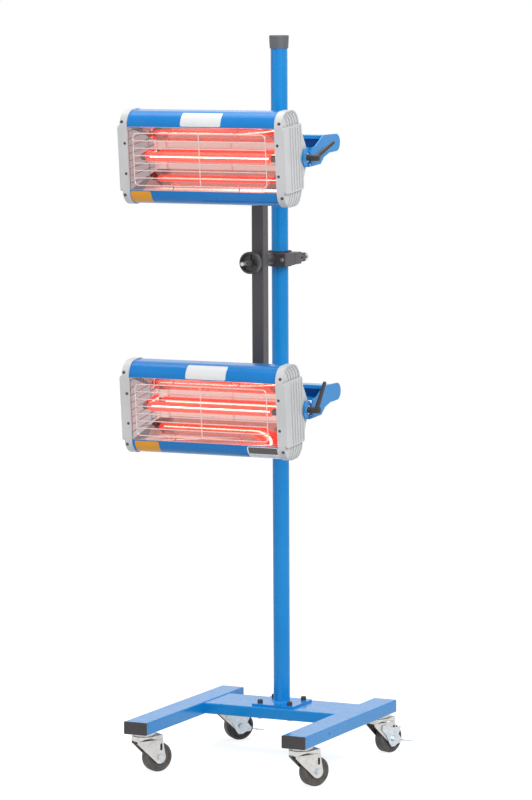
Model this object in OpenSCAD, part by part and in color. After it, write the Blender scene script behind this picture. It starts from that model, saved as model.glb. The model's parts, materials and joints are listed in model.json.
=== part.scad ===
/* [Base] */
// Length of each floor rail
rail_length = 510; // [400:5:700]
// Width of a rail
rail_width = 60; // [45:1:70]
// Height of a rail
rail_height = 30; // [25:1:45]
// Wall of the rail tube
rail_wall = 2.5; // [1.5:0.1:4]
// Distance between the rails' centre lines
rail_spacing = 410; // [340:5:600]
// Height of the rails' top above the floor
rail_top = 127; // [124:1:150]
// How far the rails reach in front of the column's axis
rail_front = 365; // [300:5:430]
// Depth of the flat cross member
cross_depth = 140; // [120:5:180]
// How far the cross member's top lies below the rails' top
cross_drop = 2; // [1:0.5:6]
// Wall of the cross member
cross_wall = 3; // [2:0.5:5]
// Thickness of an end plug's face
plug_face = 2.5; // [1.5:0.5:5]
// Depth of an end plug inside its tube
plug_depth = 14; // [8:1:25]

/* [Column] */
// Outer diameter of the column
column_d = 40; // [32:0.5:42]
// Wall of the column
column_wall = 2; // [1.5:0.1:3]
// Height of the column's top above the floor
column_top = 1717; // [1600:1:1850]
// Side of the square foot plate
foot_side = 110; // [100:1:118]
// Thickness of the foot plate
foot_thickness = 5; // [4:0.5:8]
// Height of the weld bead round the column's foot
weld_height = 4; // [2:0.5:6]
// Distance of the foot bolts from the foot plate's edges
foot_bolt_edge = 16; // [13:0.5:20]
// Diameter of the foot bolts
foot_bolt_d = 8; // [6:1:10]
// Diameter of the caps over the foot bolts
bolt_cap_d = 13; // [11:0.5:15]
// Height of the caps over the foot bolts
bolt_cap_height = 9; // [8:0.5:12]
// Height of the cap on the column
column_cap_height = 31; // [25:1:45]
// Diameter of the column cap at its lower rim
column_cap_low_d = 44; // [43.5:0.5:48]
// Diameter of the column cap at its top
column_cap_top_d = 47; // [44:0.5:52]
// Thickness of the column cap's top
column_cap_lid = 7; // [4:0.5:12]

/* [Casters] */
// Diameter of a wheel
wheel_d = 70; // [55:1:72]
// Width of a wheel's tyre
wheel_width = 25; // [20:1:30]
// Trail of the axle behind the swivel axis
trail = 35; // [28:1:38]
// Distance of a swivel axis from its rail's end
caster_inset = 40; // [36:1:60]
// Diameter of the fork's crown
crown_d = 58; // [52:1:60]
// Sheet thickness of the fork
fork_sheet = 2.2; // [1.8:0.1:3]
// Diameter of the axle bolts
axle_d = 8; // [6:1:10]
// Swivel angle of the front left caster
swivel_front_left = 57; // [0:1:359]
// Swivel angle of the front right caster
swivel_front_right = 59; // [0:1:359]
// Swivel angle of the rear left caster
swivel_rear_left = 47; // [0:1:359]
// Swivel angle of the rear right caster
swivel_rear_right = 68; // [0:1:359]
// Reach of the brake pedal behind the axle
pedal_reach = 60; // [52:1:66]
// Width of the brake pedal's pad
pedal_width = 22; // [14:1:28]

/* [Carriage] */
// Height of the clamp's middle above the floor
clamp_level = 1197; // [900:1:1400]
// Width of the clamp across the column
clamp_width = 79; // [76:1:90]
// Depth of the clamp's front half, from the column's axis
clamp_front_depth = 52; // [46:1:60]
// Depth of the clamp's rear half, from the column's axis
clamp_rear_depth = 38; // [34:1:46]
// Height of the clamp's front half
clamp_height = 30; // [26:1:40]
// Gap between the clamp's halves
clamp_slit = 1.6; // [1:0.1:3]
// Distance of each clamp screw from the column's axis
clamp_screw_x = 30.5; // [30:0.25:32]
// Diameter of the clamp screws
clamp_screw_d = 8; // [6:0.5:8]
// Wall of the liner between the clamp and the column
liner_wall = 2.5; // [2:0.1:2.6]
// Diameter of the liner's collars
liner_collar_d = 56; // [52:1:62]
// Thickness of the liner's collars
liner_collar = 3; // [2:0.5:5]
// Diameter of the spigot between the clamp and the bar
spigot_d = 28; // [22:1:29]
// Diameter of the threaded stud
stud_d = 8.7; // [8:0.1:10]
// How far the stud reaches in front of the knob
stud_reach = 37; // [10:1:45]
// Diameter of the lock knob
lock_knob_d = 24; // [20:1:28]
// Length of the lock knob
lock_knob_length = 22; // [16:1:30]
// Length of the zinc nut behind the lock knob
lock_nut_length = 12; // [8:1:16]

/* [Carrier] */
// Side of the square carrier bar
bar_side = 30; // [26:1:34]
// Wall of the carrier bar
bar_wall = 2.5; // [1.5:0.1:4]
// Length of the carrier bar
bar_length = 640; // [630:5:700]
// Clear distance between the clamp's front and the bar
bar_standoff = 41; // [20:1:60]
// Diameter of the round knob
knob_d = 52; // [44:1:60]
// Thickness of the round knob
knob_thickness = 18; // [14:1:24]
// Length of the neck between the bar and the round knob
knob_neck = 26; // [10:1:40]
// Distance between the two yokes' channels, centre to centre
yoke_spacing = 577; // [560:1:600]

/* [Yokes] */
// Height of the yoke's channel
channel_height = 36; // [34:1:40]
// Depth of the yoke's channel
channel_depth = 39; // [32:1:42]
// Sheet thickness of the channel and its arms
yoke_sheet = 3; // [2:0.25:3]
// Height of the lips that close the channel's front
channel_lip = 8; // [6:0.5:10]
// Length of the mount between the bar and the channel
mount_length = 48; // [40:1:60]
// Side of the square mount
mount_side = 24; // [20:1:26]
// How far the pivot lies in front of the channel's back
pivot_reach = 136; // [130:1:160]
// How far the pivot lies below the channel's middle
pivot_drop = 28.5; // [26:0.5:32]
// Radius of the ear round the pivot
ear_r = 21.5; // [18:0.5:24]
// Clear width of the fold between the ear and the arm's outer plate
arm_fold = 2; // [1:0.5:4]
// Length of a clamping lever's hub
lever_hub_length = 28; // [22:1:34]
// Diameter of a clamping lever's hub
lever_hub_d = 15; // [13:0.5:18]
// Reach of a clamping lever's arm from its axis
lever_reach = 66; // [50:1:80]
// Angle of the upper lever above the level, toward the back
upper_lever_angle = 31; // [0:1:90]
// Angle of the lower lever above the level, toward the back
lower_lever_angle = 87; // [0:1:90]
// Lean of a lever's arm away from the head
lever_lean = 17; // [5:1:25]

/* [Heads] */
// Length of the blue housing
housing_length = 375; // [340:1:400]
// Height of the blue housing
housing_height = 214; // [208:1:222]
// Depth of the blue housing
housing_depth = 92; // [88:1:96]
// Radius of the housing's four long edges
housing_edge_r = 34; // [30:0.5:36]
// Wall of the housing
housing_wall = 2.5; // [2:0.1:3.5]
// Height of the open front
opening_height = 147; // [140:1:150]
// Forward tilt of both heads
head_tilt = 5; // [0:0.5:10]
// Distance of the pivot behind the open front
pivot_depth = 103; // [101:0.5:106]
// Distance of the pivot below the head's middle
pivot_low = 5; // [0:0.5:8]
// Thickness of an end cap
cap_thickness = 24; // [20:1:25]
// How far a cap stands proud of the housing all round
cap_overlap = 2.5; // [1.5:0.5:4]
// Height of a cap's raised middle
cap_middle_height = 151; // [130:1:160]
// Thickness of a cap's raised middle
cap_middle_step = 6; // [4:0.5:9]
// Height of the cap's ribs
cap_rib_step = 1.5; // [1:0.25:2.5]
// Distance from one rib of a cap to the next
cap_rib_pitch = 13.4; // [11:0.2:15]
// Width of a cap's rib
cap_rib_width = 6; // [4:0.5:8]
// Depth of the rear cover behind the housing
rear_cover_depth = 30; // [26:1:36]
// Height of the rear cover where it meets the housing
rear_cover_height = 132; // [120:1:140]
// Height of the rear cover's narrow back
rear_cover_back = 24; // [20:1:40]
// Wall of the rear cover
rear_cover_wall = 2; // [1.5:0.1:3]
// Diameter of a head's pivot studs
pivot_d = 8; // [6:1:10]

/* [Lamp] */
// Outer diameter of the glass tube
tube_d = 23.4; // [20:0.2:26]
// Wall of the glass tube
tube_wall = 1.4; // [1:0.1:2]
// Distance from each open end of the housing to the tip of the glass tube
tube_end_gap = 24.5; // [22:0.5:34]
// Distance of the tube's axis behind the open front
tube_depth = 38; // [34:1:44]
// Diameter of the filament
filament_d = 3; // [2:0.5:5]
// Thickness of the reflector sheet
reflector_sheet = 1; // [0.6:0.1:1.5]
// Distance of the reflector's back behind the open front
reflector_depth = 74; // [66:1:80]
// Height of the reflector's back
reflector_back_height = 68; // [50:1:90]
// Length of the reflector's back
reflector_back_length = 304; // [280:1:330]
// Diameter of the guard's wire
wire_d = 2.4; // [2:0.2:4]
// Length of the guard's frame
guard_length = 336; // [300:1:345]
// Height of the guard's frame
guard_height = 120; // [100:1:130]
// Distance of the guard in front of the open front
guard_stand = 10; // [6:1:20]
// Number of the guard's level wires
guard_wires = 8; // [4:1:12]
// Radius of the guard frame's corners
guard_corner_r = 10; // [6:1:16]

/* [Hidden] */

// Fineness of curves
$fn = 96;
// Overrun of a cut past the face that it opens
over = 1;
// Running clearance of a pin in its bore
running = 0.05;
// Clearance between pieces that turn past each other
clear = 0.5;
// Gap between flat faces that slide over each other
face_gap = 0.3;

// Base
rail_x = rail_spacing / 2;
rail_middle = rail_top - rail_height / 2;
rail_bottom = rail_top - rail_height;
rail_back = rail_length - rail_front;
rail_hole_d = 5;
rail_hole_inset = 131;
cross_top = rail_top - cross_drop;
cross_height = rail_height - 2 * cross_drop;
cross_length = rail_spacing - rail_width;
foot_top = cross_top + foot_thickness;
foot_corner_r = foot_bolt_edge / 4;
foot_bolt_xy = foot_side / 2 - foot_bolt_edge;
bolt_head_d = bolt_cap_d * 0.8;
bolt_head = bolt_cap_height * 0.6;
foot_nut_d = foot_bolt_d * 1.8;
foot_nut = foot_bolt_d * 0.8;
column_cap_skirt = column_cap_height - column_cap_lid;
column_cap_bevel = column_cap_lid / 4;

// Casters
axle_z = wheel_d / 2;
front_caster_y = caster_inset - rail_front;
rear_caster_y = rail_back - caster_inset;
head_plate = 4;
head_plate_d = crown_d * 0.97;
race_height = 4;
race_d = crown_d * 0.8;
king_d = 12;
king_head_d = 20;
king_head = 3;
crown_top = rail_bottom - head_plate - race_height - clear;
crown_sheet = fork_sheet * 1.4;
crown_bottom = crown_top - crown_sheet;
wheel_room = 1.25;
leg_in = wheel_width / 2 + wheel_room;
leg_out = leg_in + fork_sheet;
leg_foot_r = axle_d * 1.9;
leg_back = trail + leg_foot_r;
leg_rake = 7;
shoulder_height = 12;
shoulder_z = crown_top - shoulder_height;
shoulder_lead = sqrt(pow(crown_d / 2, 2) - pow(leg_out, 2));
shoulder_back = leg_back - leg_rake;
leg_brow = 5;
slot_width = 6;
slot_length = 17;
slot_rise = 19;
slot_back = 3.5;
slot_low = axle_z + slot_rise;
hub_half = leg_in - clear;
hub_r = axle_d * 1.4;
tyre_edge = 3;
disc_r = wheel_d * 0.37;
disc_dish = 2.5;
axle_nut_d = axle_d * 1.8;
axle_nut = axle_d * 0.6;
brake_sheet = 2.5;
brake_in = leg_out + clear;
brake_out = brake_in + brake_sheet;
brake_slope = 10;
// Outline of the brake plate round the axle, as shares of the wheel's radius
brake_shares = [
    [-1.03, 1.02], [-1.07, 0.70], [-0.66, 0.30], [-0.40, -0.28], [-0.20, -0.54], [0.12, -0.54], [0.34, -0.40],
    [0.71, -0.36], [0.80, -0.14], [0.46, 0.27], [0.60, 0.50], [0.70, 0.78], [0.28, 0.76], [-0.28, 0.82],
    [-0.66, 1.05]
];
brake_outline = [for (p = brake_shares) p * wheel_d / 2];
pedal_start = 0.60 * wheel_d / 2;
pedal_level = -0.20 * wheel_d / 2;
// Outline of the pedal's pad, as shares of its length and of its width outward
pad_shares = [[0.12, 0], [0.20, 0.62], [0.52, 1], [0.86, 0.70], [1, 0.12], [1, -0.22], [0, -0.22]];
pad_outline = [for (p = pad_shares) [
    p[0] * (pedal_reach - pedal_start), -brake_in - brake_sheet - p[1] * (pedal_width - brake_sheet) / 2
]];

// Carriage
liner_bore = column_d + 2 * running;
liner_d = liner_bore + 2 * liner_wall;
clamp_bore = liner_d + 2 * running;
clamp_rear_step = 1;
clamp_rear_height = clamp_height - 2 * clamp_rear_step;
clamp_edge_r = 3;
screw_head_d = clamp_screw_d * 1.35;
screw_recess = 3;
screw_seat_y = screw_recess + clamp_screw_d - clamp_front_depth;
socket_d = clamp_screw_d * 0.8;
socket_depth = clamp_screw_d * 0.6;
screw_nut_d = clamp_screw_d * 1.8;
screw_nut = clamp_screw_d * 0.8;
spigot_seat = 12;
lock_washer = 1.5;
lock_washer_d = lock_knob_d * 0.85;
lock_start = clamp_rear_depth + lock_washer + face_gap;
lock_end = lock_start + lock_knob_length;
lock_lobes = 6;
lock_core_share = 0.76;
lock_lobe_share = 0.28;
lock_nut_d = lock_knob_d * 0.88;
lock_nut_lid = 3;
lock_screw_end = lock_end + lock_nut_length - lock_nut_lid - clear;

// Carrier
bar_back = -clamp_front_depth - bar_standoff;
bar_y = bar_back - bar_side / 2;
bar_front = bar_back - bar_side;
bar_drop = 4;
bar_z = clamp_level - bar_drop;
bar_corner_r = bar_wall;
bar_plug_face = 2;
bar_plug_depth = 12;
knob_back = bar_front - face_gap - knob_neck;
knob_front = knob_back - knob_thickness;
knob_neck_d = knob_d * 0.5;
knob_edge_r = 3;
knob_rim = 5;
knob_hollow = 8;
knob_hub_d = stud_d * 2;
knob_web = 4;
knob_webs = 3;
stud_seat = 20;

// Yokes
channel_back = bar_front - mount_length;
pivot_y = channel_back - pivot_reach;
upper_channel_z = bar_z + yoke_spacing / 2;
lower_channel_z = bar_z - yoke_spacing / 2;
upper_pivot_z = upper_channel_z - pivot_drop;
lower_pivot_z = lower_channel_z - pivot_drop;
yoke_bolt_d = 10;
yoke_bolt_head_d = yoke_bolt_d * 1.8;
yoke_bolt_head = yoke_bolt_d * 0.65;
yoke_bolt_seat = 22;
// Outline of an arm, as shares of the pivot's reach and drop from the channel
arm_shares = [
    [0.08, 0.25], [0.12, 0.77], [0.25, 0.84], [0.59, 1.70], [1.09, 1.70],
    [1.09, 0.30], [0.81, 0.23], [0.60, -0.07], [0.46, -0.60], [0.10, -0.72]
];
arm_outline = [for (p = arm_shares) [p[0] * pivot_reach, p[1] * pivot_drop]];
arm_end = arm_outline[4][0];
arm_end_r = (arm_outline[4][1] - arm_outline[5][1]) / 2;
arm_heel = arm_outline[8];

// Heads
cap_out = housing_length / 2 + cap_thickness;
cap_face = cap_out + cap_rib_step;
ear_room = 1;
ear_in = cap_face + ear_room;
ear_out = ear_in + yoke_sheet;
arm_in = ear_out + arm_fold;
arm_out = arm_in + yoke_sheet;
washer = 1.6;
washer_d = 20;
washer_out = ear_out + face_gap + washer;
hub_start = washer_out + face_gap;
hub_end = hub_start + lever_hub_length;
lever_hub_lid = 5;
pivot_tip = hub_end - lever_hub_lid;
lever_arm_inset = 9;
lever_arm_x = hub_end - lever_arm_inset;
lever_arm_r = 5.6;
lever_tip_r = 4.2;
lever_screw_d = 7;
lever_screw = 1.2;
cap_front = -cap_overlap;
cap_depth = housing_depth + cap_overlap;
cap_height = housing_height + 2 * cap_overlap;
cap_edge_r = housing_edge_r + cap_overlap;
cap_body_out = cap_out - cap_middle_step;
cap_lid = 3;
cap_rim = 7;
cap_middle_r = 6;
cap_ribs = floor((cap_depth - cap_edge_r / 2) / cap_rib_pitch);
outer_screw_inset = 12.5;
outer_screw_z = cap_height * 0.385;
inner_screw_inset = 6.5;
inner_screw_z = cap_height * 0.16;
screw_d = 7;
screw_pin_d = 4;
screw_head = 2;
screw_sink = 3;
cover_inset = 3;
cover_end = cap_out - cover_inset;
cover_back = housing_depth + rear_cover_depth;
cover_cheek = 8;
pivot_nut_d = pivot_d * 1.8;
pivot_nut = pivot_d * 0.8;
pivot_spacer_d = pivot_d * 1.75;
gland_d = 14;
gland_bore = 8;
gland_length = 12;
gland_x = 60;
gland_depth = housing_depth + rear_cover_depth / 2;

// Lamp
mouth_x = housing_length / 2;
mouth_lap = 1;
mouth_z = opening_height / 2 + mouth_lap;
mouth_seat = 0.1;
lip_offset = mouth_z - housing_height / 2 + housing_edge_r;
mouth_depth = housing_edge_r + mouth_seat
    - sqrt(pow(housing_edge_r - housing_wall, 2) - pow(lip_offset, 2));
back_x = reflector_back_length / 2;
back_z = reflector_back_height / 2;
holder_d = 16;
holder_gap = 0.2;
holder_end = mouth_x - holder_gap;
tube_tip = housing_length / 2 - tube_end_gap;
tube_end = tube_tip - tube_d / 2;
wire_r = wire_d / 2;
wire_pitch = guard_height / (guard_wires - 1);
guard_leg_x = guard_length / 4;
guard_leg_back = 32;
weld_gap = 0.1;

module rounded_square(width, depth, r) {
    for (x = [-1, 1], y = [-1, 1])
        translate([x * (width / 2 - r), y * (depth / 2 - r)]) circle(r = r);
    square([width - 2 * r, depth], center = true);
    square([width, depth - 2 * r], center = true);
}

module square_ring(width, depth, wall) {
    difference() {
        rounded_square(width, depth, wall);
        square([width - 2 * wall, depth - 2 * wall], center = true);
    }
}

// Stands an outline of depth and height between two places across the width
module across(from, to) {
    translate([from, 0, 0]) rotate([90, 0, 90]) linear_extrude(height = to - from) children();
}

// A round bar across the width, between two places
module bar_across(from, to, d) {
    translate([from, 0, 0]) rotate([0, 90, 0]) cylinder(h = to - from, d = d);
}

// A round bar from the front to the back, between two places
module bar_back_from(from, to, d) {
    translate([0, from, 0]) rotate([-90, 0, 0]) cylinder(h = to - from, d = d);
}

module hex_back_from(from, to, d) {
    translate([0, from, 0]) rotate([-90, 0, 0]) cylinder(h = to - from, d = d, $fn = 6);
}

module both_sides() {
    children();
    mirror([1, 0, 0]) children();
}

// Base
module at_rails() {
    for (side = [-1, 1]) translate([side * rail_x, 0, rail_middle]) children();
}

module at_casters() {
    for (side = [-1, 1], y = [front_caster_y, rear_caster_y]) translate([side * rail_x, y, 0]) children();
}

module at_foot_bolts() {
    for (x = [-1, 1], y = [-1, 1]) translate([x * foot_bolt_xy, y * foot_bolt_xy, 0]) children();
}

module base_rails() {
    color("royalblue") difference() {
        at_rails() translate([0, -rail_front, 0]) rotate([-90, 0, 0])
            linear_extrude(height = rail_length) square_ring(rail_width, rail_height, rail_wall);
        at_casters() translate([0, 0, rail_bottom - over]) cylinder(h = rail_wall + 2 * over, d = king_d);
        both_sides() translate([0, rail_hole_inset - rail_front, rail_middle])
            bar_across(rail_x + rail_width / 2 - rail_wall - over, rail_x + rail_width / 2 + over, rail_hole_d);
    }
}

module cross_member() {
    color("mediumblue") difference() {
        translate([0, 0, cross_top - cross_height / 2]) across(-cross_length / 2, cross_length / 2)
            square_ring(cross_depth, cross_height, cross_wall);
        at_foot_bolts() translate([0, 0, cross_top - cross_height - over])
            cylinder(h = cross_height + 2 * over, d = foot_bolt_d);
    }
}

module tube_plug(width, depth, wall, face, length) {
    translate([0, 0, -face]) linear_extrude(height = face) rounded_square(width, depth, wall);
    linear_extrude(height = length) square_ring(width - 2 * wall, depth - 2 * wall, wall);
}

module rail_plugs() {
    color("dimgray") at_rails() {
        translate([0, -rail_front, 0]) rotate([-90, 0, 0])
            tube_plug(rail_width, rail_height, rail_wall, plug_face, plug_depth);
        translate([0, rail_back, 0]) rotate([90, 0, 0])
            tube_plug(rail_width, rail_height, rail_wall, plug_face, plug_depth);
    }
}

module foot_plate() {
    color("royalblue") {
        difference() {
            translate([0, 0, cross_top]) linear_extrude(height = foot_thickness)
                rounded_square(foot_side, foot_side, foot_corner_r);
            at_foot_bolts() translate([0, 0, cross_top - over])
                cylinder(h = foot_thickness + 2 * over, d = foot_bolt_d);
        }
        translate([0, 0, foot_top]) rotate_extrude()
            translate([column_d / 2, 0]) polygon([[0, 0], [weld_height, 0], [0, weld_height]]);
    }
}

module column_tube() {
    color("dodgerblue") translate([0, 0, foot_top]) difference() {
        cylinder(h = column_top - foot_top, d = column_d);
        translate([0, 0, -over])
            cylinder(h = column_top - foot_top + 2 * over, d = column_d - 2 * column_wall);
    }
}

module column_cap() {
    bevel_d = column_cap_top_d - 2 * column_cap_bevel;
    color("dimgray") translate([0, 0, column_top - column_cap_skirt]) difference() {
        union() {
            cylinder(h = column_cap_height - column_cap_bevel, d1 = column_cap_low_d, d2 = column_cap_top_d);
            translate([0, 0, column_cap_height - column_cap_bevel])
                cylinder(h = column_cap_bevel, d1 = column_cap_top_d, d2 = bevel_d);
        }
        translate([0, 0, -over]) cylinder(h = column_cap_skirt + over, d = column_d);
    }
}

module foot_bolts() {
    bottom = cross_top - cross_height;
    color("silver") at_foot_bolts() {
        translate([0, 0, bottom - foot_nut - over])
            cylinder(h = foot_top - bottom + foot_nut + over, d = foot_bolt_d);
        translate([0, 0, foot_top]) cylinder(h = bolt_head, d = bolt_head_d, $fn = 6);
        translate([0, 0, bottom - foot_nut]) cylinder(h = foot_nut, d = foot_nut_d, $fn = 6);
    }
}

module bolt_caps() {
    color("black") at_foot_bolts() translate([0, 0, foot_top]) difference() {
        union() {
            cylinder(h = bolt_cap_height - bolt_cap_d / 8, d = bolt_cap_d);
            translate([0, 0, bolt_cap_height - bolt_cap_d / 8])
                cylinder(h = bolt_cap_d / 8, d1 = bolt_cap_d, d2 = bolt_cap_d * 0.75);
        }
        translate([0, 0, -over]) cylinder(h = bolt_head + over, d = bolt_head_d);
    }
}

// Casters
module caster_heads() {
    pin_bottom = crown_bottom - clear - king_head;
    color("silver") at_casters() {
        translate([0, 0, rail_bottom - head_plate]) cylinder(h = head_plate, d = head_plate_d);
        translate([0, 0, rail_bottom - head_plate - race_height]) cylinder(h = race_height, d = race_d);
        translate([0, 0, pin_bottom]) cylinder(h = rail_bottom + rail_wall - pin_bottom, d = king_d);
        translate([0, 0, pin_bottom]) cylinder(h = king_head, d1 = king_d, d2 = king_head_d);
    }
}

// Puts a caster's piece under its rail, with the trail turned to the swivel angle
module at_caster(side, y, swivel) {
    translate([side * rail_x, y, 0]) rotate([0, 0, swivel]) children();
}

// One leg's flat, from the shoulders to the round foot
module fork_leg() {
    foot = leg_foot_r * cos(45);
    difference() {
        union() {
            polygon([
                [-shoulder_lead, shoulder_z + over / 2], [-shoulder_lead, shoulder_z - leg_brow],
                [trail - foot, axle_z - foot], [leg_back, axle_z], [shoulder_back, shoulder_z + over / 2]
            ]);
            translate([trail, axle_z]) circle(r = leg_foot_r);
        }
        translate([trail, axle_z]) circle(d = axle_d);
        for (rise = [0, slot_length - slot_width]) translate([trail + slot_back, slot_low + rise])
            circle(d = slot_width);
        translate([trail + slot_back - slot_width / 2, slot_low])
            square([slot_width, slot_length - slot_width]);
    }
}

// The pressed shoulders that spread from the legs to the round crown, drawn in by the sheet for their inside
module fork_shoulders(inset, top, overrun) {
    hull() {
        translate([0, 0, top - crown_sheet]) cylinder(h = crown_sheet, d = crown_d - 2 * inset, $fn = 32);
        translate([inset - shoulder_lead, inset - leg_out, shoulder_z - overrun])
            cube([shoulder_lead + shoulder_back - inset + overrun, 2 * (leg_out - inset), top - shoulder_z + overrun]);
    }
}

module fork() {
    color("silver") difference() {
        union() {
            for (side = [-1, 1]) translate([0, side * (leg_in + leg_out) / 2 + fork_sheet / 2, 0])
                rotate([90, 0, 0]) linear_extrude(height = fork_sheet) fork_leg();
            difference() {
                fork_shoulders(0, crown_top, 0);
                fork_shoulders(fork_sheet, crown_bottom, over);
            }
        }
        translate([0, 0, crown_bottom - over]) cylinder(h = crown_sheet + 2 * over, d = king_d + 2 * running);
    }
}

module at_axle() {
    translate([trail, 0, axle_z]) children();
}

module wheel() {
    tread = wheel_width / 2;
    rim_r = wheel_d / 2;
    bore_r = axle_d / 2 + running;
    half = [
        [disc_r, disc_dish - tread], [disc_r + disc_dish, -tread], [rim_r - tyre_edge, -tread],
        [rim_r, tyre_edge - tread]
    ];
    color("dimgray") at_axle() rotate([90, 0, 0]) rotate_extrude() {
        translate([bore_r, -hub_half]) square([hub_r - bore_r, 2 * hub_half]);
        translate([bore_r, disc_dish - tread]) square([disc_r - bore_r, 2 * (tread - disc_dish)]);
        polygon([
            half[0], half[1], half[2], half[3],
            [half[3][0], -half[3][1]], [half[2][0], -half[2][1]],
            [half[1][0], -half[1][1]], [half[0][0], -half[0][1]]
        ]);
    }
}

module axle(near) {
    far = leg_out + axle_nut;
    color("silver") at_axle() {
        bar_back_from(-near - axle_nut - over, far, axle_d);
        hex_back_from(-near - axle_nut, -near, axle_nut_d);
        hex_back_from(leg_out, far, axle_nut_d);
    }
}

module brake() {
    color("silver") at_axle() difference() {
        union() {
            translate([0, -brake_in, 0]) rotate([90, 0, 0]) linear_extrude(height = brake_sheet)
                polygon(brake_outline);
            translate([pedal_start, 0, pedal_level]) rotate([0, brake_slope, 0])
                linear_extrude(height = brake_sheet) polygon(pad_outline);
        }
        bar_back_from(-brake_out - over, -brake_in + over, axle_d + 2 * running);
    }
}

// Carriage
module column_liner() {
    reach = clamp_height / 2 + face_gap + liner_collar;
    color("dimgray") translate([0, 0, clamp_level]) difference() {
        union() {
            translate([0, 0, -reach]) cylinder(h = 2 * reach, d = liner_d);
            for (z = [-reach, reach - liner_collar])
                translate([0, 0, z]) cylinder(h = liner_collar, d = liner_collar_d);
        }
        translate([0, 0, -reach - over]) cylinder(h = 2 * (reach + over), d = liner_bore);
    }
}

module clamp_half(height, depth) {
    translate([0, 0, -height / 2]) linear_extrude(height = height) difference() {
        rounded_square(clamp_width, 2 * depth, clamp_edge_r);
        translate([-clamp_width, -clamp_slit / 2]) square([2 * clamp_width, 2 * depth]);
        circle(d = clamp_bore);
    }
}

module at_clamp_screws() {
    for (side = [-1, 1]) translate([side * clamp_screw_x, 0, 0]) children();
}

module clamp_front() {
    color("dimgray") translate([0, 0, clamp_level]) difference() {
        clamp_half(clamp_height, clamp_front_depth);
        at_clamp_screws() {
            bar_back_from(-clamp_front_depth - over, over, clamp_screw_d);
            bar_back_from(-clamp_front_depth - over, screw_seat_y, screw_head_d);
        }
        bar_back_from(-clamp_front_depth - over, spigot_seat - clamp_front_depth, spigot_d);
    }
}

module clamp_rear() {
    color("dimgray") translate([0, 0, clamp_level]) difference() {
        rotate([0, 0, 180]) clamp_half(clamp_rear_height, clamp_rear_depth);
        at_clamp_screws() bar_back_from(-over, clamp_rear_depth + over, clamp_screw_d);
    }
}

module clamp_screws() {
    head = screw_recess - clamp_front_depth;
    color("silver") translate([0, 0, clamp_level]) {
        at_clamp_screws() difference() {
            union() {
                bar_back_from(head, screw_seat_y, screw_head_d);
                bar_back_from(screw_seat_y - over, clamp_rear_depth, clamp_screw_d);
            }
            hex_back_from(head - over, head + socket_depth, socket_d);
        }
        translate([-clamp_screw_x, 0, 0]) {
            bar_back_from(clamp_rear_depth - over, clamp_rear_depth + screw_nut + over, clamp_screw_d);
            hex_back_from(clamp_rear_depth, clamp_rear_depth + screw_nut, screw_nut_d);
        }
        translate([clamp_screw_x, 0, 0]) {
            bar_back_from(clamp_rear_depth - over, lock_screw_end, clamp_screw_d);
            bar_back_from(clamp_rear_depth, clamp_rear_depth + lock_washer, lock_washer_d);
        }
    }
}

module at_lock() {
    translate([clamp_screw_x, 0, clamp_level]) children();
}

module lock_knob() {
    color("black") at_lock() difference() {
        translate([0, lock_start, 0]) rotate([-90, 0, 0]) linear_extrude(height = lock_knob_length) {
            circle(d = lock_knob_d * lock_core_share);
            for (i = [0 : lock_lobes - 1]) rotate(i * 360 / lock_lobes)
                translate([lock_knob_d * (1 - lock_lobe_share) / 2, 0])
                    circle(d = lock_knob_d * lock_lobe_share);
        }
        bar_back_from(lock_start - over, lock_end + over, clamp_screw_d + 2 * running);
    }
}

module lock_nut() {
    color("silver") at_lock() difference() {
        hex_back_from(lock_end, lock_end + lock_nut_length, lock_nut_d);
        bar_back_from(lock_end - over, lock_end + lock_nut_length - lock_nut_lid,
            clamp_screw_d + 2 * running);
    }
}

module spigot() {
    color("gray") translate([0, 0, clamp_level]) difference() {
        bar_back_from(bar_back + face_gap, spigot_seat - clamp_front_depth, spigot_d);
        bar_back_from(bar_back - over, bar_back + stud_seat, stud_d);
    }
}

module stud() {
    color("silver") translate([0, 0, clamp_level])
        bar_back_from(knob_front - stud_reach, bar_back + stud_seat, stud_d);
}

// Carrier
module carrier_bar() {
    color("dimgray") difference() {
        translate([0, bar_y, bar_z - bar_length / 2]) linear_extrude(height = bar_length)
            square_ring(bar_side, bar_side, bar_wall);
        translate([0, 0, clamp_level]) bar_back_from(bar_front - over, bar_back + over, stud_d + 2 * running);
    }
}

module bar_plugs() {
    color("black") translate([0, bar_y, bar_z]) {
        translate([0, 0, -bar_length / 2])
            tube_plug(bar_side, bar_side, bar_wall, bar_plug_face, bar_plug_depth);
        translate([0, 0, bar_length / 2]) rotate([180, 0, 0])
            tube_plug(bar_side, bar_side, bar_wall, bar_plug_face, bar_plug_depth);
    }
}

module bar_knob() {
    color("black") translate([0, 0, clamp_level]) difference() {
        union() {
            bar_back_from(knob_back - over, bar_front - face_gap, knob_neck_d);
            translate([0, knob_front, 0]) rotate([-90, 0, 0]) rotate_extrude() intersection() {
                translate([0, knob_thickness / 2]) rounded_square(knob_d, knob_thickness, knob_edge_r);
                square([knob_d, knob_thickness]);
            }
        }
        difference() {
            bar_back_from(knob_front - over, knob_front + knob_hollow, knob_d - 2 * knob_rim);
            bar_back_from(knob_front - over, knob_front + knob_hollow, knob_hub_d);
            for (i = [0 : knob_webs - 1]) rotate([0, i * 360 / knob_webs, 0])
                translate([-knob_web / 2, knob_front + knob_hollow / 2, 0])
                    cube([knob_web, knob_hollow, knob_d / 2]);
        }
        bar_back_from(knob_front - over, bar_front, stud_d + 2 * running);
    }
}

// Yokes
module yoke_mounts() {
    color("royalblue") for (z = [upper_channel_z, lower_channel_z]) translate([0, 0, z]) difference() {
        translate([0, channel_back, 0]) rotate([-90, 0, 0]) linear_extrude(height = mount_length)
            rounded_square(mount_side, mount_side, bar_corner_r);
        bar_back_from(channel_back - over, channel_back + yoke_bolt_seat, yoke_bolt_d);
    }
}

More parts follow.
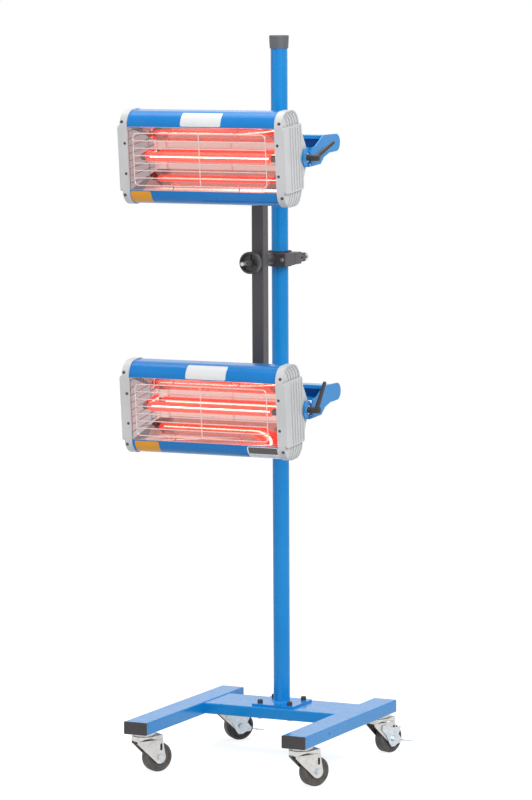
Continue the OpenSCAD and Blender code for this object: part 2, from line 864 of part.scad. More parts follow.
module yoke_bolts() {
    head = channel_back - yoke_sheet - yoke_bolt_head;
    color("silver") for (z = [upper_channel_z, lower_channel_z]) translate([0, 0, z]) {
        hex_back_from(head, head + yoke_bolt_head, yoke_bolt_head_d);
        bar_back_from(head, channel_back + yoke_bolt_seat, yoke_bolt_d);
    }
}

module channel() {
    opening = channel_height - 2 * channel_lip;
    color("blue") difference() {
        across(-arm_in, arm_in) translate([channel_back - channel_depth, 0]) difference() {
            translate([0, -channel_height / 2]) square([channel_depth, channel_height]);
            translate([yoke_sheet, yoke_sheet - channel_height / 2])
                square([channel_depth - 2 * yoke_sheet, channel_height - 2 * yoke_sheet]);
            translate([-over, -opening / 2]) square([yoke_sheet + 2 * over, opening]);
        }
        bar_back_from(channel_back - yoke_sheet - over, channel_back + over, yoke_bolt_d);
    }
}

module arm() {
    across(arm_in, arm_out) difference() {
        union() {
            polygon(arm_outline);
            translate([arm_end, pivot_drop]) circle(r = arm_end_r);
        }
        circle(d = washer_d + 2 * clear);
    }
    across(ear_in, arm_out) polygon([
        [0, -ear_r], arm_heel, [arm_heel[0], arm_heel[1] + yoke_sheet], [0, yoke_sheet - ear_r]
    ]);
    across(ear_in, ear_out) difference() {
        circle(r = ear_r);
        circle(d = pivot_d + 2 * running);
    }
}

module arms() {
    color("dodgerblue") both_sides() arm();
}

module lever(angle) {
    color("black") difference() {
        union() {
            bar_across(hub_start, hub_end, lever_hub_d);
            bar_across(hub_end - over, hub_end + lever_screw, lever_screw_d);
            translate([lever_arm_x, 0, 0]) rotate([angle - 90, 0, 0]) rotate([0, lever_lean, 0]) {
                cylinder(h = lever_reach, r1 = lever_arm_r, r2 = lever_tip_r);
                translate([0, 0, lever_reach]) sphere(r = lever_tip_r);
            }
        }
        bar_across(hub_start - over, pivot_tip + clear, pivot_d + 2 * running);
    }
}

// Heads, drawn with the open front at depth zero and the middle at height zero
module at_head(z) {
    translate([0, pivot_y, z]) rotate([head_tilt, 0, 0]) translate([0, -pivot_depth, pivot_low]) children();
}

module at_pivot() {
    translate([0, pivot_depth, -pivot_low]) children();
}

module at_depth(depth) {
    translate([0, depth, 0]) children();
}

module housing_outline(inset) {
    translate([housing_depth / 2, 0])
        rounded_square(housing_depth - 2 * inset, housing_height - 2 * inset, housing_edge_r - inset);
}

module housing() {
    color("dodgerblue") across(-housing_length / 2, housing_length / 2) difference() {
        housing_outline(0);
        housing_outline(housing_wall);
        translate([-over, -opening_height / 2]) square([housing_edge_r, opening_height]);
    }
}

module cap_outline(inset) {
    translate([cap_front + cap_depth / 2, 0])
        rounded_square(cap_depth - 2 * inset, cap_height - 2 * inset, cap_edge_r - inset);
}

// The rear edge of the cap's outline, repeated toward the front
module cap_rib_lines() {
    for (i = [0 : cap_ribs - 1]) difference() {
        intersection() {
            cap_outline(cap_overlap);
            translate([-i * cap_rib_pitch, 0]) cap_outline(cap_overlap);
        }
        translate([-i * cap_rib_pitch - cap_rib_width, 0]) cap_outline(cap_overlap);
    }
}

module cap_middle_band(height) {
    translate([cap_front, -height / 2]) square([cap_depth, height]);
}

module at_cap_screws() {
    for (side = [-1, 1]) {
        translate([housing_length / 2 + outer_screw_inset, 0, side * outer_screw_z]) children();
        translate([housing_length / 2 + inner_screw_inset, 0, side * inner_screw_z]) children();
    }
}

module cap() {
    difference() {
        across(housing_length / 2, cap_body_out) cap_outline(0);
        across(housing_length / 2 - over, cap_body_out - cap_lid) cap_outline(cap_rim);
        at_cap_screws() {
            bar_back_from(cap_front - over, cap_front + screw_sink, screw_d);
            bar_back_from(cap_front, cap_front + cap_rim + over, screw_pin_d);
        }
    }
    across(cap_body_out, cap_out) translate([cap_front + cap_depth / 2, 0])
        rounded_square(cap_depth, cap_middle_height, cap_middle_r);
    across(cap_body_out, cap_body_out + cap_rib_step) difference() {
        cap_rib_lines();
        cap_middle_band(cap_middle_height);
    }
    across(cap_out, cap_face) intersection() {
        cap_rib_lines();
        cap_middle_band(cap_middle_height - 2 * cap_middle_r);
    }
}

module caps() {
    color("lightgray") both_sides() cap();
}

module cap_screws() {
    seat = cap_front + screw_sink;
    color("dimgray") both_sides() at_cap_screws() {
        bar_back_from(seat - screw_head, seat, screw_d);
        bar_back_from(seat - over, cap_front + cap_rim, screw_pin_d);
    }
}

// Tapered box of the reflector, drawn in by the sheet for its inside
module reflector_box(inset) {
    front = mouth_depth - 2 * inset;
    back = reflector_depth - inset;
    intersection() {
        across(-mouth_x - over, mouth_x + over) polygon([
            [front, -mouth_z + inset], [back, -back_z + inset],
            [back, back_z - inset], [front, mouth_z - inset]
        ]);
        translate([0, 0, -mouth_z - over]) linear_extrude(height = 2 * (mouth_z + over)) polygon([
            [-mouth_x + inset, front], [-back_x + inset, back],
            [back_x - inset, back], [mouth_x - inset, front]
        ]);
    }
}

module at_guard_legs() {
    for (x = [-1, 1], z = [-1, 1]) translate([x * guard_leg_x, 0, z * guard_height / 2]) children();
}

module reflector() {
    color("mistyrose") difference() {
        reflector_box(0);
        reflector_box(reflector_sheet);
        at_depth(tube_depth) bar_across(-mouth_x - over, mouth_x + over, holder_d);
        at_guard_legs() bar_back_from(0, guard_leg_back + over, wire_d);
    }
}

module tube_form(end, r) {
    translate([0, tube_depth, 0]) {
        bar_across(-end, end, 2 * r);
        for (side = [-1, 1]) translate([side * end, 0, 0]) sphere(r = r);
    }
}

module tube() {
    color("red") difference() {
        tube_form(tube_end, tube_d / 2);
        tube_form(tube_end, tube_d / 2 - tube_wall);
        at_depth(tube_depth) bar_across(-mouth_x, mouth_x, filament_d);
    }
}

module element() {
    color("white") difference() {
        union() {
            at_depth(tube_depth) {
                bar_across(-tube_tip - over, tube_tip + over, filament_d);
                both_sides() bar_across(tube_end, holder_end, holder_d);
            }
        }
        difference() {
            tube_form(tube_end, tube_d / 2);
            at_depth(tube_depth) bar_across(-mouth_x, mouth_x, filament_d);
        }
    }
}

module guard_corner() {
    translate([guard_length / 2 - guard_corner_r, 0, guard_height / 2 - guard_corner_r])
        rotate([90, 0, 0]) rotate_extrude(angle = 90) translate([guard_corner_r, 0]) circle(r = wire_r);
}

module guard() {
    side_z = guard_height / 2 - guard_corner_r;
    color("whitesmoke") at_depth(-guard_stand) {
        both_sides() {
            guard_corner();
            mirror([0, 0, 1]) guard_corner();
            translate([guard_length / 2, 0, -side_z]) cylinder(h = 2 * side_z, r = wire_r);
        }
        for (i = [0 : guard_wires - 1]) {
            outer = i == 0 || i == guard_wires - 1;
            reach = guard_length / 2 - (outer ? guard_corner_r : 0);
            translate([0, 0, i * wire_pitch - guard_height / 2]) bar_across(-reach, reach, wire_d);
        }
        translate([0, 0, -guard_height / 2]) cylinder(h = guard_height, r = wire_r);
        at_guard_legs() bar_back_from(wire_r + weld_gap, guard_stand + guard_leg_back, wire_d);
    }
}

module cover_outline(inset) {
    polygon([
        [housing_depth - over * (inset > 0 ? 1 : 0), inset - rear_cover_height / 2],
        [cover_back - inset, inset - rear_cover_back / 2],
        [cover_back - inset, rear_cover_back / 2 - inset],
        [housing_depth - over * (inset > 0 ? 1 : 0), rear_cover_height / 2 - inset]
    ]);
}

module rear_cover() {
    color("gainsboro") difference() {
        union() {
            across(-cover_end, cover_end) cover_outline(0);
            translate([gland_x, gland_depth, -rear_cover_height / 2 + rear_cover_back / 2 - gland_length])
                cylinder(h = gland_length * 2, d = gland_d);
        }
        across(cover_cheek - cover_end, cover_end - cover_cheek) cover_outline(rear_cover_wall);
        translate([gland_x, gland_depth, -rear_cover_height])
            cylinder(h = rear_cover_height, d = gland_bore);
        at_pivot() bar_across(-cover_end - over, cover_end + over, pivot_d);
    }
}

module pivots() {
    inner = cover_end - cover_cheek;
    color("silver") at_pivot() {
        both_sides() {
            bar_across(inner - pivot_nut - over, washer_out, pivot_d);
            translate([inner - pivot_nut, 0, 0]) rotate([0, 90, 0])
                cylinder(h = pivot_nut, d = pivot_nut_d, $fn = 6);
            bar_across(cover_end, ear_in - face_gap, pivot_spacer_d);
            bar_across(ear_out + face_gap, washer_out, washer_d);
        }
        bar_across(washer_out - over, pivot_tip, pivot_d);
        mirror([1, 0, 0]) translate([washer_out, 0, 0]) rotate([0, 90, 0])
            cylinder(h = pivot_nut, d = pivot_nut_d, $fn = 6);
    }
}

base_rails();
cross_member();
rail_plugs();
foot_plate();
column_tube();
column_cap();
foot_bolts();
bolt_caps();
caster_heads();
at_caster(-1, front_caster_y, swivel_front_left) fork();  // fork_front_left
at_caster(1, front_caster_y, swivel_front_right) fork();  // fork_front_right
at_caster(-1, rear_caster_y, swivel_rear_left) fork();  // fork_rear_left
at_caster(1, rear_caster_y, swivel_rear_right) fork();  // fork_rear_right
at_caster(-1, front_caster_y, swivel_front_left) wheel();  // wheel_front_left
at_caster(1, front_caster_y, swivel_front_right) wheel();  // wheel_front_right
at_caster(-1, rear_caster_y, swivel_rear_left) wheel();  // wheel_rear_left
at_caster(1, rear_caster_y, swivel_rear_right) wheel();  // wheel_rear_right
at_caster(-1, front_caster_y, swivel_front_left) axle(leg_out);  // axle_front_left
at_caster(1, front_caster_y, swivel_front_right) axle(leg_out);  // axle_front_right
at_caster(-1, rear_caster_y, swivel_rear_left) axle(brake_out + face_gap);  // axle_rear_left
at_caster(1, rear_caster_y, swivel_rear_right) axle(brake_out + face_gap);  // axle_rear_right
at_caster(-1, rear_caster_y, swivel_rear_left) brake();  // brake_rear_left
at_caster(1, rear_caster_y, swivel_rear_right) brake();  // brake_rear_right
column_liner();
clamp_front();
clamp_rear();
clamp_screws();
lock_knob();
lock_nut();
spigot();
stud();
carrier_bar();
bar_plugs();
bar_knob();
yoke_mounts();
translate([0, 0, upper_channel_z]) channel();  // upper_channel
translate([0, 0, lower_channel_z]) channel();  // lower_channel
translate([0, pivot_y, upper_pivot_z]) arms();  // upper_arms
translate([0, pivot_y, lower_pivot_z]) arms();  // lower_arms
yoke_bolts();
translate([0, pivot_y, upper_pivot_z]) lever(upper_lever_angle);  // upper_lever
translate([0, pivot_y, lower_pivot_z]) lever(lower_lever_angle);  // lower_lever
at_head(upper_pivot_z) housing();  // upper_housing
at_head(lower_pivot_z) housing();  // lower_housing
at_head(upper_pivot_z) caps();  // upper_caps
at_head(lower_pivot_z) caps();  // lower_caps
at_head(upper_pivot_z) cap_screws();  // upper_cap_screws
at_head(lower_pivot_z) cap_screws();  // lower_cap_screws
at_head(upper_pivot_z) reflector();  // upper_reflector
at_head(lower_pivot_z) reflector();  // lower_reflector
at_head(upper_pivot_z) tube();  // upper_tube
at_head(lower_pivot_z) tube();  // lower_tube
at_head(upper_pivot_z) element();  // upper_element
at_head(lower_pivot_z) element();  // lower_element
at_head(upper_pivot_z) guard();  // upper_guard
at_head(lower_pivot_z) guard();  // lower_guard
at_head(upper_pivot_z) rear_cover();  // upper_rear_cover
at_head(lower_pivot_z) rear_cover();  // lower_rear_cover
at_head(upper_pivot_z) pivots();  // upper_pivots
at_head(lower_pivot_z) pivots();  // lower_pivots
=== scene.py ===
"""An infrared curing lamp on a wheeled stand: finishes, labels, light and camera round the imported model."""
import json
import math

import bmesh
import bpy
from mathutils import Matrix, Vector


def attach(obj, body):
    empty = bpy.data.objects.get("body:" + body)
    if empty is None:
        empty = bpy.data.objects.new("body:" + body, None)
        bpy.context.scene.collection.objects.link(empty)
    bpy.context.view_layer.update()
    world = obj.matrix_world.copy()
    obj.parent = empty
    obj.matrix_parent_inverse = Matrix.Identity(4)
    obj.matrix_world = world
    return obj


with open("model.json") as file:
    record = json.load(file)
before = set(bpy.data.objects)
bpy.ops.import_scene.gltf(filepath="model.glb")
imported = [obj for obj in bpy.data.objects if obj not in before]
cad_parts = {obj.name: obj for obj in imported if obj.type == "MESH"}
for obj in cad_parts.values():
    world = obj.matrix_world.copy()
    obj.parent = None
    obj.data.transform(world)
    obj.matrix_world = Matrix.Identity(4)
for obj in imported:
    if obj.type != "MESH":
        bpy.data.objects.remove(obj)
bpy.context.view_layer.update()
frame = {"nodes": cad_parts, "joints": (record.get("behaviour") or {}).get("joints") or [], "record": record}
NODES = frame["nodes"]

# Image and camera
IMAGE_HEIGHT = 800
FOCAL_PX = 3970
CAMERA_PLACE = Vector((4.072, -8.473, 1.893))
YAW, PITCH, ROLL = math.radians(25.88), math.radians(6.28), math.radians(-0.28)
SENSOR = 36
FAR_CLIP = 400

# The heads' pivots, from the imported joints, with their depth behind the front and below the middle
TILTS = [joint for joint in frame["joints"] if joint["name"].endswith("_tilt")]
PIVOTS = {joint["name"].removesuffix("_tilt"): joint["pos_m"] for joint in TILTS}
PIVOT_Y = PIVOTS["upper"][1]
PIVOT_Z = {head: place[2] for head, place in PIVOTS.items()}
PIVOT_DEPTH = 0.103
PIVOT_LOW = 0.005
HEAD_TILT = math.radians(5)

# The housing's round lips: their radius and the height of its centre over the housing's middle
HOUSING_EDGE = 0.034
LIP_CENTRE = 0.073

# Labels: the height of each one's back and face over the housing, and the steps of its mesh
LABEL_LIFT = 0.00005, 0.0003
STRIP_LIFT = 0.00032, 0.00042
PATCH_ALONG, PATCH_AROUND = 28, 20

# Where the reflector's end panels and the holders begin, from a head's middle, and how softly
SHEET_END = 0.153
TUBE_END = 0.150
END_FADE = 0.002

# The enamel's refraction lies below a real one's, as the photographed blue is deep and reflects little
ENAMEL_IOR, ENAMEL_COAT, ENAMEL_COAT_IOR = 1.24, 0.45, 1.28

# The reflector's slope toward the front and its waves, the reach and samples of the painted shade in creases,
# and what the lit tube gives
SHEET_FLARE, SHEET_WAVE = 0.31, 0.00006
CREASE_SHADE_REACH, CREASE_SHADE_SAMPLES = 0.007, 8
ELEMENT_GLOW = 26.0
TUBE_GLOW, TUBE_ALPHA = 0.9, 0.5

# The band of a noise that a finish spreads out
CLOUD = 0.3, 0.7

# The angle from which an edge stays sharp, and the one from which it is broken
SHARP_FROM = math.radians(32)
BREAK_FROM = math.radians(50)

# The ground and the world: what shows of them, and how they light the rest
FLOOR_SIZE = 60
FLOOR_SEEN, FLOOR_WHITE, FLOOR_BOUNCE = 0.5, 0.79, 0.55
WORLD_LIGHT, WORLD_SEEN = 0.42, 1.0

# Colours, as linear values
BLUE = (0.001, 0.29, 0.76)
SHELL_BLUE = (0.002, 0.235, 0.68)
DARK_COAT = (0.062, 0.052, 0.060)
BLACK = (0.040, 0.036, 0.037)
TOP_GREY = (0.135, 0.14, 0.15)
CAP_GREY = (0.69, 0.70, 0.715)
ZINC = (0.60, 0.59, 0.57)
BLUE_ZINC = (0.55, 0.60, 0.64)
RUBBER = (0.082, 0.074, 0.067)
DUST = (0.4, 0.38, 0.35)
DARK_STEEL = (0.09, 0.085, 0.085)
# The guard wire's pink is painted red light from the lit tube, on bright plated steel
WIRE_RED_GLOW = (0.74, 0.58, 0.56)
WHITE = (1.0, 1.0, 1.0)
LABEL_WHITE = (0.86, 0.87, 0.88)
LABEL_ORANGE = (0.90, 0.38, 0.01)
LABEL_DARK = (0.10, 0.09, 0.09)
LABEL_SILVER = (0.62, 0.61, 0.60)
# The reflector sheet's pink is painted red light from the lit tube, on bright aluminium
SHEET_RED_GLOW = (0.76, 0.46, 0.42)
SHEET_PANEL = (0.42, 0.36, 0.37)
CERAMIC = (0.34, 0.24, 0.22)
HOT = (1.0, 0.54, 0.42)
GLASS = (0.85, 0.06, 0.045)
GLOW = (1.0, 0.12, 0.09)


class Shader:
    """A node material under construction, with short calls for the nodes that the finishes share.

    A noise's scale is in waves per metre.
    """

    def __init__(self, name):
        self.material = bpy.data.materials.new(name)
        self.material.use_nodes = True
        self.tree = self.material.node_tree
        self.surface = self.tree.nodes["Principled BSDF"]
        self.places = self.add("ShaderNodeTexCoord").outputs["Object"]

    def add(self, kind, **settings):
        made = self.tree.nodes.new(kind)
        for key, value in settings.items():
            setattr(made, key, value)
        return made

    def link(self, output, entry):
        self.tree.links.new(output, entry)

    def put(self, entry, value):
        self.surface.inputs[entry].default_value = (*value, 1) if isinstance(value, tuple) else value

    def noise(self, scale, detail=3.0, roughness=0.55, stretch=None):
        made = self.add("ShaderNodeTexNoise")
        made.inputs["Scale"].default_value = scale
        made.inputs["Detail"].default_value = detail
        made.inputs["Roughness"].default_value = roughness
        if stretch:
            mapping = self.add("ShaderNodeMapping")
            mapping.inputs["Scale"].default_value = stretch
            self.link(self.places, mapping.inputs["Vector"])
            self.link(mapping.outputs["Vector"], made.inputs["Vector"])
        else:
            self.link(self.places, made.inputs["Vector"])
        return made.outputs["Fac"]

    def spread(self, value, low, high, out_low=0.0, out_high=1.0):
        made = self.add("ShaderNodeMapRange")
        entries = ("From Min", low), ("From Max", high), ("To Min", out_low), ("To Max", out_high)
        for entry, number in entries:
            made.inputs[entry].default_value = number
        self.link(value, made.inputs["Value"])
        return made.outputs["Result"]

    def mix(self, share, first, second):
        made = self.add("ShaderNodeMix", data_type="RGBA")
        self.link(share, made.inputs["Factor"])
        for entry, value in (("A", first), ("B", second)):
            slot = [s for s in made.inputs if s.name == entry and s.type == "RGBA"][0]
            if isinstance(value, tuple):
                slot.default_value = (*value, 1)
            else:
                self.link(value, slot)
        return [s for s in made.outputs if s.type == "RGBA"][0]

    def tint(self, noise, low, high, span=CLOUD):
        """Lets the base colour wander between two values with a noise."""
        self.link(self.mix(self.spread(noise, *span), low, high), self.surface.inputs["Base Color"])

    def polish(self, noise, low, high):
        """Lets the roughness wander between two values with a noise."""
        self.link(self.spread(noise, *CLOUD, low, high), self.surface.inputs["Roughness"])

    def axes(self):
        apart = self.add("ShaderNodeSeparateXYZ")
        self.link(self.places, apart.inputs[0])
        return apart.outputs

    def beyond(self, end, low=0.0, high=1.0):
        """Goes from low to high where the place is farther across than an end, on either side."""
        across = self.add("ShaderNodeMath", operation="ABSOLUTE")
        self.link(self.axes()["X"], across.inputs[0])
        return self.spread(across.outputs[0], end, end + END_FADE, low, high)

    def bump(self, height, strength, distance):
        made = self.add("ShaderNodeBump")
        made.inputs["Strength"].default_value = strength
        made.inputs["Distance"].default_value = distance
        self.link(height, made.inputs["Height"])
        self.link(made.outputs["Normal"], self.surface.inputs["Normal"])


def shade(colour, share):
    return tuple(channel * share for channel in colour)


def toward(colour, other, share):
    return tuple(a + (b - a) * share for a, b in zip(colour, other))


def paint(name, colour, roughness=0.24, peel=0.03):
    """Gloss enamel: a clear skin with orange peel over a slightly uneven colour."""
    made = Shader(name)
    made.tint(made.noise(5.0), shade(colour, 0.93), toward(colour, WHITE, 0.015))
    made.polish(made.noise(38.0), roughness * 0.8, roughness * 1.25)
    made.put("IOR", ENAMEL_IOR)
    made.put("Coat Weight", ENAMEL_COAT)
    made.put("Coat IOR", ENAMEL_COAT_IOR)
    made.put("Coat Roughness", 0.12)
    made.bump(made.noise(420.0, 2.0), peel, 0.0002)
    return made.material


def plastic(name, colour, roughness=0.45, grain=900.0, relief=0.12, crease_shade=1.0):
    """Moulded plastic with a fine spark grain.

    The last argument is the share of its colour that its inner corners keep: painted shade, darkening creases
    where ambient occlusion finds them.
    """
    made = Shader(name)
    skin = made.mix(made.spread(made.noise(9.0), *CLOUD), shade(colour, 0.93), shade(colour, 1.05))
    # Painted shade: ambient occlusion darkens the colour in inner corners and creases, where less light
    # reaches
    if crease_shade < 1:
        open_share = made.add("ShaderNodeAmbientOcclusion", samples=CREASE_SHADE_SAMPLES)
        open_share.inputs["Distance"].default_value = CREASE_SHADE_REACH
        skin = made.mix(made.spread(open_share.outputs["AO"], 0.45, 0.95), shade(colour, crease_shade), skin)
    made.link(skin, made.surface.inputs["Base Color"])
    made.polish(made.noise(60.0), roughness * 0.85, roughness * 1.15)
    made.bump(made.noise(grain, 2.0), relief, 0.0003)
    return made.material


def plate(name, colour, roughness=0.34, spangle=90.0):
    """Zinc-plated pressed steel: a metal with faint clouds and brushed scratches."""
    made = Shader(name)
    made.tint(made.noise(spangle, 4.0), shade(colour, 0.82), shade(colour, 1.1), (0.25, 0.75))
    made.put("Metallic", 1.0)
    made.polish(made.noise(160.0, 4.0), roughness * 0.7, roughness * 1.4)
    made.bump(made.noise(500.0, 3.0, 0.6, (1, 1, 0.2)), 0.10, 0.0002)
    return made.material


def rubber(name, colour):
    """Moulded tyre rubber, dusty where it runs."""
    made = Shader(name)
    made.tint(made.noise(70.0, 5.0, 0.7), colour, toward(colour, DUST, 0.22), (0.45, 0.75))
    made.polish(made.noise(130.0), 0.5, 0.75)
    made.bump(made.noise(700.0, 3.0), 0.2, 0.0003)
    return made.material


def bright_sheet(name):
    """Bright aluminium reflector: a thin clear anodised skin along its length, and duller, greyer end panels.

    The light falls on its slanted panels as on ones that open wider, by a slope toward the front. Its pink
    colour along the length is painted red light from the lit tube.
    """
    made = Shader(name)
    made.put("Metallic", 1.0)
    panel = made.beyond(SHEET_END)
    # Painted light: the sheet's pink colour stands in for the tube's red glow on it, and the end panels are
    # greyer
    made.link(made.mix(panel, SHEET_RED_GLOW, SHEET_PANEL), made.surface.inputs["Base Color"])
    made.link(made.spread(panel, 0, 1, 0.10, 0.04), made.surface.inputs["Roughness"])
    made.link(made.spread(panel, 0, 1, 1.0, 0.1), made.surface.inputs["Coat Weight"])
    made.put("Coat Roughness", 0.05)
    flare = made.add("ShaderNodeMath", operation="MULTIPLY_ADD")
    made.link(made.axes()["Y"], flare.inputs[0])
    flare.inputs[1].default_value = SHEET_FLARE
    waves = made.noise(9.0, 1.0, 0.5, (0.3, 1, 1))
    made.link(made.spread(waves, 0, 1, 0, SHEET_WAVE), flare.inputs[2])
    made.bump(flare.outputs[0], 1.0, 1.0)
    return made.material


def ruby_glass(name):
    """Ruby-tinted quartz, red with the light inside it."""
    made = Shader(name)
    made.put("Base Color", GLASS)
    made.put("Roughness", 0.08)
    made.put("Emission Color", GLOW)
    made.put("Emission Strength", TUBE_GLOW)
    made.put("Alpha", TUBE_ALPHA)
    made.bump(made.noise(60.0), 0.05, 0.0005)
    return made.material


def hot_element(name):
    """The lit filament between the dull ceramics of its holders."""
    made = Shader(name)
    made.put("Base Color", CERAMIC)
    made.put("Roughness", 0.6)
    made.put("Emission Color", HOT)
    made.link(made.beyond(TUBE_END, ELEMENT_GLOW, 0.0), made.surface.inputs["Emission Strength"])
    return made.material


FINISHES = {
    "blue_paint": paint("blue_paint", BLUE),
    "blue_shell": paint("blue_shell", SHELL_BLUE, 0.2, 0.04),
    "black_plastic": plastic("black_plastic", BLACK, 0.42),
    "dark_coat": plastic("dark_coat", DARK_COAT, 0.38, 700.0, 0.1),
    "zinc": plate("zinc", ZINC),
    "blue_zinc": plate("blue_zinc", BLUE_ZINC, 0.24, 140.0),
    "tread": rubber("tread", RUBBER),
    # The cap's ribs get painted shade in their creases
    "pale_cap": plastic("pale_cap", CAP_GREY, 0.4, 800.0, 0.03, 0.66),
    "dark_screw": plate("dark_screw", DARK_STEEL, 0.35),
    "top_cap": plastic("top_cap", TOP_GREY, 0.5, 700.0, 0.1),
    "bright_sheet": bright_sheet("bright_sheet"),
    # The guard wire's pink colour is painted red light from the tube
    "bright_wire": plate("bright_wire", WIRE_RED_GLOW, 0.34, 200.0),
    "ruby_glass": ruby_glass("ruby_glass"),
    "hot_element": hot_element("hot_element"),
}


# Pieces whose finish differs from the rest of their slot, and the round on the edges of the plain pieces
NODE_FINISHES = {name: "blue_zinc" for name in NODES if name.startswith(("axle_", "brake_"))}
NODE_FINISHES["column_cap"] = "top_cap"
SOFT_EDGES = {
    "base_rails": 0.0012, "cross_member": 0.0012, "foot_plate": 0.0008, "rail_plugs": 0.0008,
    "clamp_front": 0.0010, "clamp_rear": 0.0010, "carrier_bar": 0.0010, "upper_channel": 0.0006,
    "lower_channel": 0.0006, "upper_arms": 0.0006, "lower_arms": 0.0006,
}


def soften(node, width):
    """Breaks the sharp edges of a pressed or machined piece with a small round."""
    bevel = node.modifiers.new("broken_edges", "BEVEL")
    bevel.width = width
    bevel.segments = 2
    bevel.limit_method = "ANGLE"
    bevel.angle_limit = BREAK_FROM
    bevel.harden_normals = True


def dress_nodes():
    """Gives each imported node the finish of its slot, smooth round faces and softly broken edges."""
    slots = {row["node"]: row["material_slot"] for row in frame["record"]["subparts"]}
    for name, node in NODES.items():
        node.data.materials.clear()
        node.data.materials.append(FINISHES[NODE_FINISHES.get(name, slots[name])])
        node.data.shade_smooth()
        node.data.set_sharp_from_angle(angle=SHARP_FROM)
        if name in SOFT_EDGES:
            soften(node, SOFT_EDGES[name])


def head_place(head, x, depth, height):
    """A point of a head in the shared frame, from its place across, behind the front and above the middle."""
    back = depth - PIVOT_DEPTH
    height += PIVOT_LOW
    return Vector((
        x,
        PIVOT_Y + back * math.cos(HEAD_TILT) - height * math.sin(HEAD_TILT),
        PIVOT_Z[head] + back * math.sin(HEAD_TILT) + height * math.cos(HEAD_TILT),
    ))


def patch_skin(mesh, head, across, round_from, round_to, lip, rise, corner):
    """Rows of points for one skin of a patch, closer together toward its edges, with round corners."""
    reach = HOUSING_EDGE * (round_to - round_from)
    radius = HOUSING_EDGE + rise
    rows = []
    for j in range(PATCH_AROUND + 1):
        share = (1 - math.cos(math.pi * j / PATCH_AROUND)) / 2
        distance = share * reach
        edge = min(distance, reach - distance)
        inset = corner - math.sqrt(max(corner ** 2 - max(corner - edge, 0) ** 2, 0))
        angle = round_from + share * (round_to - round_from)
        depth = HOUSING_EDGE - radius * math.cos(angle)
        height = lip * (LIP_CENTRE + radius * math.sin(angle))
        row = []
        for i in range(PATCH_ALONG + 1):
            x = across[0] + inset + (across[1] - across[0] - 2 * inset) * i / PATCH_ALONG
            row.append(mesh.verts.new(head_place(head, x, depth, height)))
        rows.append(row)
    return rows


def patch_rim(rows):
    """The points round a skin's edge, in order."""
    return rows[0] + [row[-1] for row in rows[1:]] + rows[-1][-2::-1] + [row[0] for row in rows[-2:0:-1]]


def arc_patch(name, head, across, round_from, round_to, lip, lift, corner, material):
    """A thin patch that hugs the round lip of a housing, between two places across and two angles round it.

    lip is 1 for the top lip and -1 for the bottom one. lift holds the heights of its back and its face
    above the housing, and corner the radius of its four corners.
    """
    mesh = bmesh.new()
    skins = [patch_skin(mesh, head, across, round_from, round_to, lip, rise, corner) for rise in lift]
    for rows in skins:
        for low, high in zip(rows, rows[1:]):
            for i in range(PATCH_ALONG):
                mesh.faces.new((low[i], low[i + 1], high[i + 1], high[i]))
    back, face = [patch_rim(rows) for rows in skins]
    for i in range(len(back)):
        j = (i + 1) % len(back)
        mesh.faces.new((back[i], back[j], face[j], face[i]))
    bmesh.ops.recalc_face_normals(mesh, faces=mesh.faces)
    data = bpy.data.meshes.new(name)
    mesh.to_mesh(data)
    mesh.free()
    piece = bpy.data.objects.new(name, data)
    bpy.context.scene.collection.objects.link(piece)
    piece.data.materials.append(material)
    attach(piece, head + "_head")


def label_finish(name, colour, metallic=0.0, roughness=0.35):
    """Plain foil, coated or of bare metal."""
    made = Shader(name)
    made.tint(made.noise(24.0), shade(colour, 0.95), shade(colour, 1.02))
    made.put("Metallic", metallic)
    made.polish(made.noise(90.0), roughness * 0.8, roughness * 1.2)
    made.bump(made.noise(260.0, 2.0), 0.05, 0.0002)
    return made.material


# Patches: name, head, reach across, angles round the lip in degrees, lip, lift, corner radius and finish
PATCHES = [
    ("upper_white_label", "upper", (-0.051, 0.0515), (4, 66), 1, LABEL_LIFT, 0.004, "white"),
    ("lower_white_label", "lower", (-0.042, 0.0605), (4, 66), 1, LABEL_LIFT, 0.004, "white"),
    ("upper_orange_label", "upper", (-0.186, -0.134), (4, 60), -1, LABEL_LIFT, 0.003, "orange"),
    ("lower_orange_label", "lower", (-0.181, -0.119), (4, 60), -1, LABEL_LIFT, 0.003, "orange"),
    ("lower_plate_silver", "lower", (0.108, 0.186), (3, 70), -1, LABEL_LIFT, 0.004, "silver"),
    ("lower_plate_dark", "lower", (0.111, 0.184), (6, 34), -1, STRIP_LIFT, 0.002, "dark"),
]


def make_labels():
    """The labels' places hold plain, unmarked foil patches."""
    foils = {
        "white": label_finish("label_white", LABEL_WHITE),
        "orange": label_finish("label_orange", LABEL_ORANGE),
        "dark": label_finish("label_dark", LABEL_DARK),
        "silver": label_finish("label_silver", LABEL_SILVER, 0.8, 0.3),
    }
    for name, head, across, angles, lip, lift, corner, foil in PATCHES:
        round_from, round_to = map(math.radians, angles)
        arc_patch(name, head, across, round_from, round_to, lip, lift, corner, foils[foil])


def make_camera():
    forward = Vector((-math.sin(YAW) * math.cos(PITCH), math.cos(YAW) * math.cos(PITCH), -math.sin(PITCH)))
    level = Vector((math.cos(YAW), math.sin(YAW), 0))
    upright = level.cross(forward)
    right = math.cos(ROLL) * level + math.sin(ROLL) * upright
    up = -math.sin(ROLL) * level + math.cos(ROLL) * upright
    data = bpy.data.cameras.new("camera")
    data.sensor_width = SENSOR
    data.lens = FOCAL_PX / IMAGE_HEIGHT * SENSOR
    data.clip_end = FAR_CLIP
    camera = bpy.data.objects.new("camera", data)
    turn = Matrix((right, up, -forward)).transposed().to_4x4()
    camera.matrix_world = Matrix.Translation(CAMERA_PLACE) @ turn
    bpy.context.scene.collection.objects.link(camera)
    bpy.context.scene.camera = camera


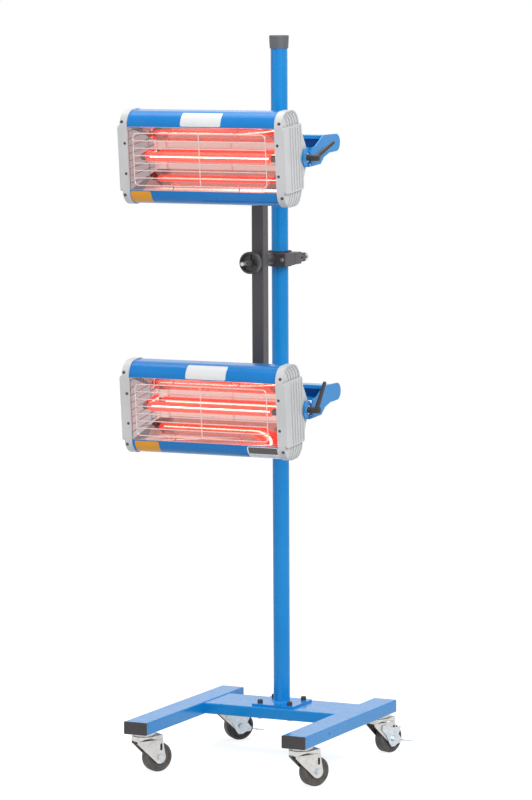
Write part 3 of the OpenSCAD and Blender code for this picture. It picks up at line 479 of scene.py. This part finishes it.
def seen_share(tree):
    """Gives 1 on the rays that show a backdrop: the camera's own, and those off metal and through glass."""
    path = tree.nodes.new("ShaderNodeLightPath")
    share = path.outputs["Is Camera Ray"]
    for name in ("Is Glossy Ray", "Is Transmission Ray"):
        larger = tree.nodes.new("ShaderNodeMath")
        larger.operation = "MAXIMUM"
        tree.links.new(share, larger.inputs[0])
        tree.links.new(path.outputs[name], larger.inputs[1])
        share = larger.outputs[0]
    return share


def shader_node(tree, kind, colour, strength=None):
    """Adds a shader of one grey to a tree and gives its output."""
    made = tree.nodes.new(kind)
    made.inputs["Color"].default_value = (colour, colour, colour, 1)
    if strength is not None:
        made.inputs["Strength"].default_value = strength
    return made.outputs[0]


def choose_seen(tree, plain, seen, output):
    """Shows one shader where the backdrop is seen, and the other to every other ray."""
    choose = tree.nodes.new("ShaderNodeMixShader")
    tree.links.new(seen_share(tree), choose.inputs[0])
    tree.links.new(plain, choose.inputs[1])
    tree.links.new(seen, choose.inputs[2])
    tree.links.new(choose.outputs[0], output.inputs["Surface"])


def make_floor():
    """A white floor that keeps a soft shadow: what the camera sees of it is mostly plain white."""
    bpy.ops.mesh.primitive_plane_add(size=FLOOR_SIZE)
    floor = bpy.context.object
    floor.name = "floor"
    material = bpy.data.materials.new("floor")
    material.use_nodes = True
    tree = material.node_tree
    tree.nodes.clear()
    both = tree.nodes.new("ShaderNodeAddShader")
    tree.links.new(shader_node(tree, "ShaderNodeBsdfDiffuse", FLOOR_SEEN), both.inputs[0])
    tree.links.new(shader_node(tree, "ShaderNodeEmission", 1, FLOOR_WHITE), both.inputs[1])
    bounce = shader_node(tree, "ShaderNodeBsdfDiffuse", FLOOR_BOUNCE)
    choose_seen(tree, bounce, both.outputs[0], tree.nodes.new("ShaderNodeOutputMaterial"))
    floor.data.materials.append(material)


def make_world():
    """White to the camera and in reflections, and a plain soft light on everything else."""
    world = bpy.data.worlds.new("studio")
    bpy.context.scene.world = world
    world.use_nodes = True
    tree = world.node_tree
    tree.nodes.clear()
    light = shader_node(tree, "ShaderNodeBackground", 1, WORLD_LIGHT)
    seen = shader_node(tree, "ShaderNodeBackground", 1, WORLD_SEEN)
    choose_seen(tree, light, seen, tree.nodes.new("ShaderNodeOutputWorld"))


# Lamps: name, place, aim, size in metres and power in watts
LAMPS = [
    ("key", (3.4, -3.0, 3.2), (0, -0.2, 1.0), (2.4, 2.4), 135),
    ("fill", (-3.4, -3.2, 2.4), (0, -0.2, 1.0), (2.4, 3.0), 18),
    ("top", (-0.4, 0.2, 4.4), (0, 0, 0.5), (3.0, 3.0), 66),
]


def make_lamps():
    for name, place, aim, size, power in LAMPS:
        data = bpy.data.lights.new(name, "AREA")
        data.shape = "RECTANGLE"
        data.size, data.size_y = size
        data.energy = power
        lamp = bpy.data.objects.new(name, data)
        lamp.location = place
        lamp.rotation_euler = (Vector(aim) - Vector(place)).to_track_quat("-Z", "Y").to_euler()
        bpy.context.scene.collection.objects.link(lamp)


dress_nodes()
make_labels()
make_camera()
make_floor()
make_world()
make_lamps()
bpy.context.scene.view_settings.view_transform = "Standard"
